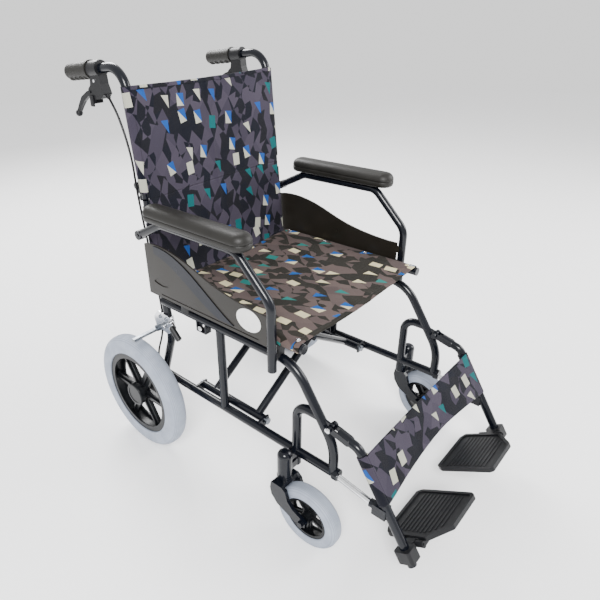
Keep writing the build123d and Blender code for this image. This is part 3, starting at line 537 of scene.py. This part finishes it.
def makeSeat():
    # One cloth over both seat rails, turned under at its long edges.
    front, rear = seatLow.y, seatHigh.y
    around = tubeR + clothGap + seatSet["thickness"] / 2
    halfFlat = railX
    halfWhole = halfFlat + around * seatSet["wrap"]
    length = rear - front

    def shape(s, t):
        a = (s * 2 - 1) * halfWhole
        y = front + t * length
        side = 1 if a > 0 else -1
        over = abs(a) - halfFlat
        if over > 0:
            turn = over / around
            return Vector((side * (halfFlat + around * sin(turn)), y, seatSet["railZ"] + around * cos(turn)))
        share = 1 - (a / halfFlat) ** 2
        pull = seatSet["sag"] * share * share + seatSet["frontDrop"] * share * ease(1 - t * 7)
        pull += 1.6 * mm * share * (ripple(a, y, 14, 3.0) + 0.6 * ripple(a, y, 36, 8.0))
        edge = ease((abs(a) - 0.82 * halfFlat) / (0.18 * halfFlat))
        pull += 0.9 * mm * edge * share * sin(y * 2 * pi / 0.062) * 2
        return Vector((a, y, seatSet["railZ"] + around - pull))

    def metres(s, t):
        return ((s * 2 - 1) * halfWhole, t * length)

    seat = clothSheet("seat_cover", seatCloth, 150, 110, shape, seatSet["thickness"], metres)
    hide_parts("seat_fabric")
    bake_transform(seat)
    return shape


seatShape = makeSeat()


def makeSeatHem():
    # Binding tape folded over the seat's front and rear edges.
    for name, at, out in (("seat_hem_front", seatLow.y, -1), ("seat_hem_rear", seatHigh.y, 1)):
        tape = 13 * mm
        radius = 1.7 * mm

        def shape(s, t, at=at, out=out):
            base = seatShape(s, 0.0 if out < 0 else 1.0)
            up = Vector((0, 0, 1))
            side = 1 if base.x > 0 else -1
            over = max(0.0, abs(base.x) - railX)
            if over > 0:
                lean = min(1.0, over / (tubeR + 1.5 * mm))
                up = Vector((side * lean, 0, (1 - lean * lean) ** 0.5))
            turn = (t - 0.5) * 2
            reach = abs(turn) * tape
            if reach < radius * pi / 2:
                bend = reach / radius
                inward, lift = radius * (1 - cos(bend)) - radius, radius * sin(bend)
            else:
                inward, lift = reach - radius * pi / 2, radius
            lift = lift if turn > 0 else -lift
            return base + up * lift + Vector((0, -out * inward, 0))

        def metres(s, t):
            return ((s * 2 - 1) * 0.245, at + t * 2 * tape)

        hem = clothSheet(name, seatCloth, 110, 16, shape, 0.5 * mm, metres)
        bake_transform(hem)


makeSeatHem()
print("seat done")


# Back sling
backSet = dict(thickness=2.4 * mm, sag=9 * mm, crease=2.2 * mm, slotAbove=15 * mm, slotBelow=17 * mm)
leanSlope = tan(backLean)


def postAxisY(z):
    # Fore-aft place of the back tube's axis at a height.
    hinge = jointAt("back_fold_left")
    return hinge.y - 17 * mm + (z - hinge.z) * leanSlope


def backShape(x, z):
    # A point of the back sling between the tubes.
    front = tubeR + clothGap + backSet["thickness"] / 2
    share = 1 - (x / caneX) ** 2
    high = ease((z - lowerLow.z) / 0.05) * 0.5 + 0.5
    depth = backSet["sag"] * share * high
    depth -= backSet["crease"] * 2.718 ** (-(x / 0.006) ** 2) * (0.7 + 0.6 * ripple(0, z, 30, 2.0))
    depth += 1.8 * mm * share * (ripple(x, z, 11, 5.0) + 0.5 * ripple(x, z, 33, 9.0))
    topEdge = ease((z - (upperHigh.z - 0.03)) / 0.03)
    depth += 1.5 * mm * topEdge * share * sin(x * 2 * pi / 0.085)
    return Vector((x, postAxisY(z) - front + depth, z))


def makeBackPanel(name, node, body, low, high, rows):
    def shape(s, t):
        x = (s * 2 - 1) * caneX
        z = low + t * (high - low)
        dip = 4 * mm * (1 - (x / caneX) ** 2) * ease((z - (upperHigh.z - 0.06)) / 0.06)
        return backShape(x, z - dip)

    def metres(s, t):
        return ((s * 2 - 1) * caneX, (low + t * (high - low)) / cos(backLean))

    panel = clothSheet(name, backCloth, 140, rows, shape, backSet["thickness"], metres)
    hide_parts(node)
    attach(panel, body)
    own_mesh(panel)


def makeBackSleeve(name, body, sign, low, high, rows):
    # The cloth's edge, carried round one back tube.
    around = tubeR + clothGap + backSet["thickness"] / 2
    turns = 2 * pi * 0.985

    def shape(s, t):
        z = low + t * (high - low)
        turn = s * turns
        x = sign * (caneX + around * sin(turn))
        return Vector((x, postAxisY(z) - around * cos(turn), z))

    def metres(s, t):
        return (sign * (caneX + around * turns * s), (low + t * (high - low)) / cos(backLean))

    sleeve = clothSheet(name, backCloth, 32, rows, shape, backSet["thickness"] * 0.6, metres)
    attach(sleeve, body)


hingeZ = jointAt("back_fold_left").z
makeBackPanel("back_panel_upper", "back_fabric_upper", "back_right", hingeZ, upperHigh.z, 72)
makeBackPanel("back_panel_lower", "back_fabric_lower", "frame_right", lowerLow.z, hingeZ, 56)
for side, sign in sides.items():
    makeBackSleeve("back_sleeve_upper_" + side, "back_" + side, sign,
                   hingeZ + backSet["slotAbove"], upperHigh.z, 50)
    makeBackSleeve("back_sleeve_lower_" + side, "frame_" + side, sign,
                   lowerLow.z, hingeZ - backSet["slotBelow"], 36)


def makeEdgeTape(name, body, z, out):
    # Binding folded over the sling's top or bottom edge.
    tape = 9 * mm
    radius = 1.9 * mm

    def shape(s, t):
        x = (s * 2 - 1) * caneX
        dip = 4 * mm * (1 - (x / caneX) ** 2) if out > 0 else 0.0
        base = backShape(x, z - dip)
        turn = (t - 0.5) * 2
        reach = abs(turn) * tape
        if reach < radius * pi / 2:
            bend = reach / radius
            inward, lift = radius * (1 - cos(bend)) - radius, radius * sin(bend)
        else:
            inward, lift = reach - radius * pi / 2, radius
        lift = lift if turn > 0 else -lift
        return base + Vector((0, lift - out * inward * leanSlope, -out * inward))

    def metres(s, t):
        return ((s * 2 - 1) * caneX, t * 2 * tape)

    tapePiece = clothSheet(name, backCloth if out > 0 else bindingTape, 120, 16, shape, 0.5 * mm, metres)
    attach(tapePiece, body)
    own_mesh(tapePiece)


makeEdgeTape("back_edge_top", "back_right", upperHigh.z, 1)
makeEdgeTape("back_edge_bottom", "frame_right", lowerLow.z, -1)
print("back done")


# Calf strap
strapSet = dict(thickness=2.0 * mm, rise=17 * mm, sag=10 * mm)


def legPoint(along, forward):
    # A point beside the legrest tube: distance down it and in front of its axis.
    axisTop = Vector((0, legKneeY, legKneeZ))
    down = Vector((0, -sin(legLean), -cos(legLean)))
    ahead = Vector((0, -cos(legLean), sin(legLean)))
    return axisTop + down * along + ahead * forward


legPivot = jointAt("legrest_left")
legKneeY = legPivot.y - 64 * mm
legKneeZ = legPivot.z - 16 * mm
strapTop, strapBottom = 14 * mm, 118 * mm


def makeStrap():
    front = hangerR + clothGap + strapSet["thickness"] / 2
    depth = strapBottom - strapTop

    def shape(s, t):
        x = (s * 2 - 1) * railX
        share = 1 - (x / railX) ** 2
        lowEdge = strapBottom - strapSet["rise"] * share ** 1.5
        along = lowEdge + (strapTop + 4 * mm * share - lowEdge) * t
        back = strapSet["sag"] * share * (0.6 + 0.4 * t)
        back += 1.6 * mm * share * (ripple(x, along, 13, 4.0) + 0.5 * ripple(x, along, 40, 6.0))
        point = legPoint(along, front - back)
        return Vector((x, point.y, point.z))

    def metres(s, t):
        return ((s * 2 - 1) * railX + 1.3, t * depth + 2.1)

    strap = clothSheet("calf_strap_cloth", backCloth, 130, 32, shape, strapSet["thickness"], metres)
    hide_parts("calf_strap")
    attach(strap, "leg_right")
    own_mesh(strap)
    for side, sign in sides.items():
        makeStrapSleeve(side, sign, front, depth)


def makeStrapSleeve(side, sign, around, depth):
    turns = 2 * pi * 0.97

    def shape(s, t):
        turn = s * turns
        along = strapBottom + (strapTop - strapBottom) * t
        point = legPoint(along, around * cos(turn))
        return Vector((sign * (railX + around * sin(turn)), point.y, point.z))

    def metres(s, t):
        return (sign * (railX + around * turns * s) + 1.3, t * depth + 2.1)

    sleeve = clothSheet("strap_sleeve_" + side, backCloth, 30, 26, shape,
                        strapSet["thickness"] * 0.7, metres)
    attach(sleeve, "leg_" + side)


makeStrap()
print("strap done")


# Arm pads
padSet = dict(rings=64, crown=34 * mm)
padProfile = [(11.0, 0.0), (5.0, 0.6), (1.6, 3.0), (0.2, 7.5), (0.0, 12.0), (0.5, 13.6), (1.8, 14.1),
              (1.8, 14.7), (0.4, 15.2), (0.2, 18.0), (1.2, 22.5), (4.0, 27.5), (8.5, 31.2), (14.0, 33.3),
              (19.5, 34.0)]


def makeArmPad(side):
    # Moulded pad: a rounded bar with a crowned top and a moulding seam round its side.
    low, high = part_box("arm_pad_" + side)
    middle = (low + high) / 2
    radius = (high.x - low.x) / 2
    straight = (high.y - low.y) / 2 - radius
    bm = bmesh.new()
    made = bmesh.ops.create_circle(bm, cap_ends=False, segments=padSet["rings"], radius=1.0)
    ring = made["verts"]
    edges = list({edge for vert in ring for edge in vert.link_edges})
    directions = {vert: vert.co.copy() for vert in ring}

    def placeRing(directions, inset, height):
        for vert, direction in directions.items():
            shift = straight * max(-1.0, min(1.0, direction.y * 40))
            r = radius - inset * mm
            vert.co = Vector((middle.x + direction.x * r, middle.y + direction.y * r + shift,
                              low.z + height * mm))

    placeRing(directions, *padProfile[0])
    for inset, height in padProfile[1:]:
        grown = bmesh.ops.extrude_edge_only(bm, edges=edges)["geom"]
        newVerts = [item for item in grown if isinstance(item, bmesh.types.BMVert)]
        edges = [item for item in grown if isinstance(item, bmesh.types.BMEdge)]
        byPlace = {tuple(round(c, 7) for c in vert.co): direction for vert, direction in directions.items()}
        directions = {vert: byPlace[tuple(round(c, 7) for c in vert.co)] for vert in newVerts}
        placeRing(directions, inset, height)
    bmesh.ops.holes_fill(bm, edges=bm.edges, sides=0)
    pad = finishPiece(bm, "arm_pad_skin_" + side, padSkin, 80)
    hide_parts("arm_pad_" + side)
    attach(pad, "arm_" + side)


for side in sides:
    makeArmPad(side)
print("pads done")


# Brake cables
def makeCable(side):
    # The cable's own shape from its node, with doubled points merged.
    node = nodes["brake_cable_" + side]
    bm = bmesh.new()
    bm.from_mesh(node.data)
    bmesh.ops.remove_doubles(bm, verts=bm.verts, dist=1e-6)
    cable = finishPiece(bm, "cable_" + side, cableSheath, 60)
    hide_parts("brake_cable_" + side)
    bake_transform(cable)


for side in sides:
    makeCable(side)


# Small hardware
def screwHead(bm, centre, direction, radius, height):
    # A domed head with a cross or hex recess, pointing along direction.
    turn = Vector(direction).to_track_quat("Z", "Y").to_matrix().to_4x4()
    where = Matrix.Translation(centre) @ turn
    head = bmesh.ops.create_cone(bm, cap_ends=True, segments=20, radius1=radius, radius2=radius * 0.94,
                                 depth=height * 0.5,
                                 matrix=where @ Matrix.Translation((0, 0, height * 0.25)))
    top = max((face for vert in head["verts"] for face in vert.link_faces),
              key=lambda face: (face.calc_center_median() - Vector(centre)).dot(Vector(direction)))
    bmesh.ops.inset_region(bm, faces=[top], thickness=radius * 0.32, depth=height * 0.36)
    bmesh.ops.inset_region(bm, faces=[top], thickness=radius * 0.26, depth=height * 0.14)
    bmesh.ops.inset_region(bm, faces=[top], thickness=radius * 0.03, depth=0.0)
    bmesh.ops.inset_region(bm, faces=[top], thickness=radius * 0.02, depth=-height * 0.45)


def screwRow(name, body, points, direction, radius, height, material=None):
    bm = bmesh.new()
    for point in points:
        screwHead(bm, Vector(point), direction, radius, height)
    piece = finishPiece(bm, name, material or chrome, 30)
    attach(piece, body)


def atY(frontDistance):
    # A place measured back from the seat's front edge.
    return seatLow.y + frontDistance * mm


def makeSeatScrews():
    for side, body in (("left", "brace_a"), ("right", "brace_b")):
        sign = sides[side]
        height = seatSet["railZ"] + tubeR + clothGap + seatSet["thickness"]
        points = [(sign * (railX - 3 * mm), atY(distance), height) for distance in (9, 136, 262, 385)]
        screwRow("seat_screws_" + side, body, points, (0, 0, 1), 5.2 * mm, 3.2 * mm)


def boxPiece(bm, low, high, rounding):
    centre = (Vector(low) + Vector(high)) / 2
    size = Vector(high) - Vector(low)
    matrix = Matrix.Translation(centre) @ Matrix.Diagonal((*size, 1))
    made = bmesh.ops.create_cube(bm, size=1.0, matrix=matrix)
    edges = list({edge for vert in made["verts"] for edge in vert.link_edges})
    bmesh.ops.bevel(bm, geom=edges, offset=rounding, offset_type="OFFSET", segments=3, profile=0.5,
                    affect="EDGES", material=-1, clamp_overlap=True)


cradleSet = dict(length=26 * mm, width=25 * mm, fromFront=(60, 330))


def makeCradles(side, sign):
    # Plastic saddles on the upper rail that the seat rail drops into.
    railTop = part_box("side_panel_" + side)[0].z - 25 * mm + tubeR
    seatBottom = seatSet["railZ"] - tubeR
    bm = bmesh.new()
    for distance in cradleSet["fromFront"]:
        y = atY(distance)
        half = cradleSet["length"] / 2
        wide = cradleSet["width"] / 2
        x = sign * railX
        boxPiece(bm, (x - wide * 0.8, y - half, railTop - 12 * mm),
                 (x + wide * 0.8, y + half, seatBottom - clothGap), 2.5 * mm)
        for edge in (-1, 1):
            cheek = x + edge * (tubeR + 1.6 * mm)
            boxPiece(bm, (cheek - 1.4 * mm, y - half + 1 * mm, seatBottom - 8 * mm),
                     (cheek + 1.4 * mm, y + half - 1 * mm, seatBottom + 6 * mm), 1.0 * mm)
    piece = finishPiece(bm, "seat_cradles_" + side, blackPlastic, 40)
    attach(piece, "frame_" + side)


def makeRailBracket(side, sign):
    # Folded bracket with a bright bolt under the upper rail.
    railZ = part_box("side_panel_" + side)[0].z - 25 * mm
    x = sign * (railX - 2 * mm)
    bm = bmesh.new()
    boxPiece(bm, (x - 9 * mm, atY(266), railZ - 33 * mm), (x + 9 * mm, atY(298), railZ - 29 * mm), 1.2 * mm)
    for distance in (266, 294):
        boxPiece(bm, (x - 9 * mm, atY(distance), railZ - 32 * mm),
                 (x + 9 * mm, atY(distance + 4), railZ - 6 * mm), 1.2 * mm)
    piece = finishPiece(bm, "rail_bracket_" + side, framePaint, 40)
    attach(piece, "frame_" + side)
    screwRow("bracket_bolt_" + side, "frame_" + side, [(x + sign * 9 * mm, atY(282), railZ - 21 * mm)],
             (sign, 0, 0), 6.5 * mm, 6 * mm)


def makePanelScrews(side, sign):
    low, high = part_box("side_panel_" + side)
    face = max(abs(low.x), abs(high.x)) - 2 * mm
    points = [(sign * face, low.y + 9 * mm, low.z + lift) for lift in (16 * mm, 54 * mm)]
    screwRow("panel_screws_" + side, "arm_" + side, points, (sign, 0, 0), 3.8 * mm, 2.6 * mm)


def makeBrakeNuts(side, sign):
    # Two dark nuts on the parking brake's plate.
    face = sign * (caneX + tubeR + 3.5 * mm)
    points = [(face, postAxisY(365 * mm) + shift, 365 * mm) for shift in (-9 * mm, 13 * mm)]
    screwRow("brake_nuts_" + side, "frame_" + side, points, (sign, 0, 0), 4.6 * mm, 4.5 * mm, dullSteel)


def makeLegBolts(side, sign):
    pivot = jointAt("legrest_" + side)
    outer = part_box("leg_hanger_" + side)
    face = max(abs(outer[0].x), abs(outer[1].x))
    screwRow("legrest_bolt_" + side, "leg_" + side, [(sign * face, pivot.y, pivot.z)],
             (sign, 0, 0), 6.3 * mm, 4 * mm)


def makeHandleTrim(side, sign):
    # Clamp screw and park catch on the brake lever's body.
    pivot = jointAt("hand_lever_" + side)
    outer = sign * (caneX + 11 * mm)
    screwRow("lever_screw_" + side, "back_" + side, [(outer, pivot.y - 22 * mm, pivot.z + 24 * mm)],
             (sign, 0, 0), 3.4 * mm, 2.6 * mm)
    bm = bmesh.new()
    x = sign * (caneX + 12.5 * mm)
    boxPiece(bm, (x - 2.2 * mm, pivot.y - 12 * mm, pivot.z - 30 * mm),
             (x + 2.2 * mm, pivot.y + 1 * mm, pivot.z - 6 * mm), 1.6 * mm)
    piece = finishPiece(bm, "park_catch_" + side, blackPlastic, 40)
    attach(piece, "back_" + side)


def makeHingeBolts(side, sign):
    # Bright bolts where the back's hinge plates are fixed to the tubes.
    points = []
    for z in (607 * mm, 632 * mm):
        points.append((sign * (caneX + tubeR), postAxisY(z), z))
    screwRow("back_plate_bolts_" + side, "frame_" + side, points, (sign, 0, 0), 4.6 * mm, 4.4 * mm)


makeSeatScrews()
for side, sign in sides.items():
    makeCradles(side, sign)
    makeRailBracket(side, sign)
    makePanelScrews(side, sign)
    makeBrakeNuts(side, sign)
    makeLegBolts(side, sign)
    makeHandleTrim(side, sign)
    makeHingeBolts(side, sign)
print("hardware done")


# Plain oval label
labelSet = dict(width=66 * mm, height=50 * mm, thick=0.5 * mm, y=-63 * mm, z=476 * mm)


def labelPaper():
    look = Shader("labelPaper", (0.78, 0.78, 0.76), 0.35)
    speck = look.grain(60, 4)
    look.colour(look.mix(look.spread(speck, 0, 1), (0.80, 0.80, 0.78), (0.70, 0.70, 0.69)))
    look.rough(look.spread(speck, 0.28, 0.42))
    return look.material


def makeLabel():
    # Plain oval plate on the sitter's right panel, with a raised rim.
    face = -(panelHigh.x - 2 * mm)
    bm = bmesh.new()
    made = bmesh.ops.create_circle(bm, cap_ends=True, segments=48, radius=0.5)
    for vert in made["verts"]:
        across, up = vert.co.x * labelSet["width"], vert.co.y * labelSet["height"]
        vert.co = Vector((face, labelSet["y"] + across, labelSet["z"] + up))
    faces = list(bm.faces)
    grown = bmesh.ops.extrude_face_region(bm, geom=faces)
    moved = [item for item in grown["geom"] if isinstance(item, bmesh.types.BMVert)]
    bmesh.ops.translate(bm, verts=moved, vec=(-labelSet["thick"], 0, 0))
    top = [item for item in grown["geom"] if isinstance(item, bmesh.types.BMFace)]
    bmesh.ops.inset_region(bm, faces=top, thickness=1.1 * mm, depth=0.0)
    bmesh.ops.inset_region(bm, faces=top, thickness=0.25 * mm, depth=-0.2 * mm)
    label = finishPiece(bm, "oval_label", labelPaper(), 30)
    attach(label, "arm_right")


makeLabel()


# Stage
stageSet = dict(floor=14.0, tone=(0.97, 0.97, 0.975), world=1.25)


def makeStage():
    bm = bmesh.new()
    bmesh.ops.create_grid(bm, x_segments=1, y_segments=1, size=stageSet["floor"] / 2)
    look = Shader("studioFloor", stageSet["tone"], 0.9)
    look.put("Specular IOR Level", 0.1)
    floor = finishPiece(bm, "studio_floor", look.material)
    world = bpy.data.worlds.new("studio")
    world.use_nodes = True
    world.node_tree.nodes["Background"].inputs["Color"].default_value = (1, 1, 1, 1)
    world.node_tree.nodes["Background"].inputs["Strength"].default_value = stageSet["world"]
    bpy.context.scene.world = world


lamps = {
    "key": dict(at=(-2.2, -1.6, 2.6), size=1.1, power=190),
    "fill": dict(at=(2.4, -1.8, 1.8), size=1.6, power=90),
    "rim": dict(at=(0.8, 2.4, 2.4), size=1.4, power=130),
}


def makeLamps():
    for name, lamp in lamps.items():
        data = bpy.data.lights.new(name, "AREA")
        data.size = lamp["size"]
        data.energy = lamp["power"]
        light = bpy.data.objects.new(name, data)
        light.location = lamp["at"]
        aim = Vector((0, 0, 0.45)) - light.location
        light.rotation_euler = aim.to_track_quat("-Z", "Y").to_euler()
        bpy.context.scene.collection.objects.link(light)


cameraSet = dict(at=(-0.89376, -0.70088, 1.01670), yaw=46.668, down=27.881, roll=-1.794, lens=32.04,
                 shift=(0.0738, -0.0091))


def makeCamera():
    yaw, down, roll = (radians(cameraSet[key]) for key in ("yaw", "down", "roll"))
    look = Vector((sin(yaw) * cos(down), cos(yaw) * cos(down), -sin(down)))
    level = Vector((cos(yaw), -sin(yaw), 0))
    rise = level.cross(look)
    right = level * cos(roll) + rise * sin(roll)
    up = rise * cos(roll) - level * sin(roll)
    data = bpy.data.cameras.new("camera")
    data.lens = cameraSet["lens"]
    data.sensor_width = 36
    data.shift_x, data.shift_y = cameraSet["shift"]
    data.clip_start, data.clip_end = 0.02, 60
    camera = bpy.data.objects.new("camera", data)
    turn = Matrix((right, up, -look)).transposed().to_4x4()
    camera.matrix_world = Matrix.Translation(cameraSet["at"]) @ turn
    bpy.context.scene.collection.objects.link(camera)
    bpy.context.scene.camera = camera


makeStage()
makeLamps()
makeCamera()
print("stage done")
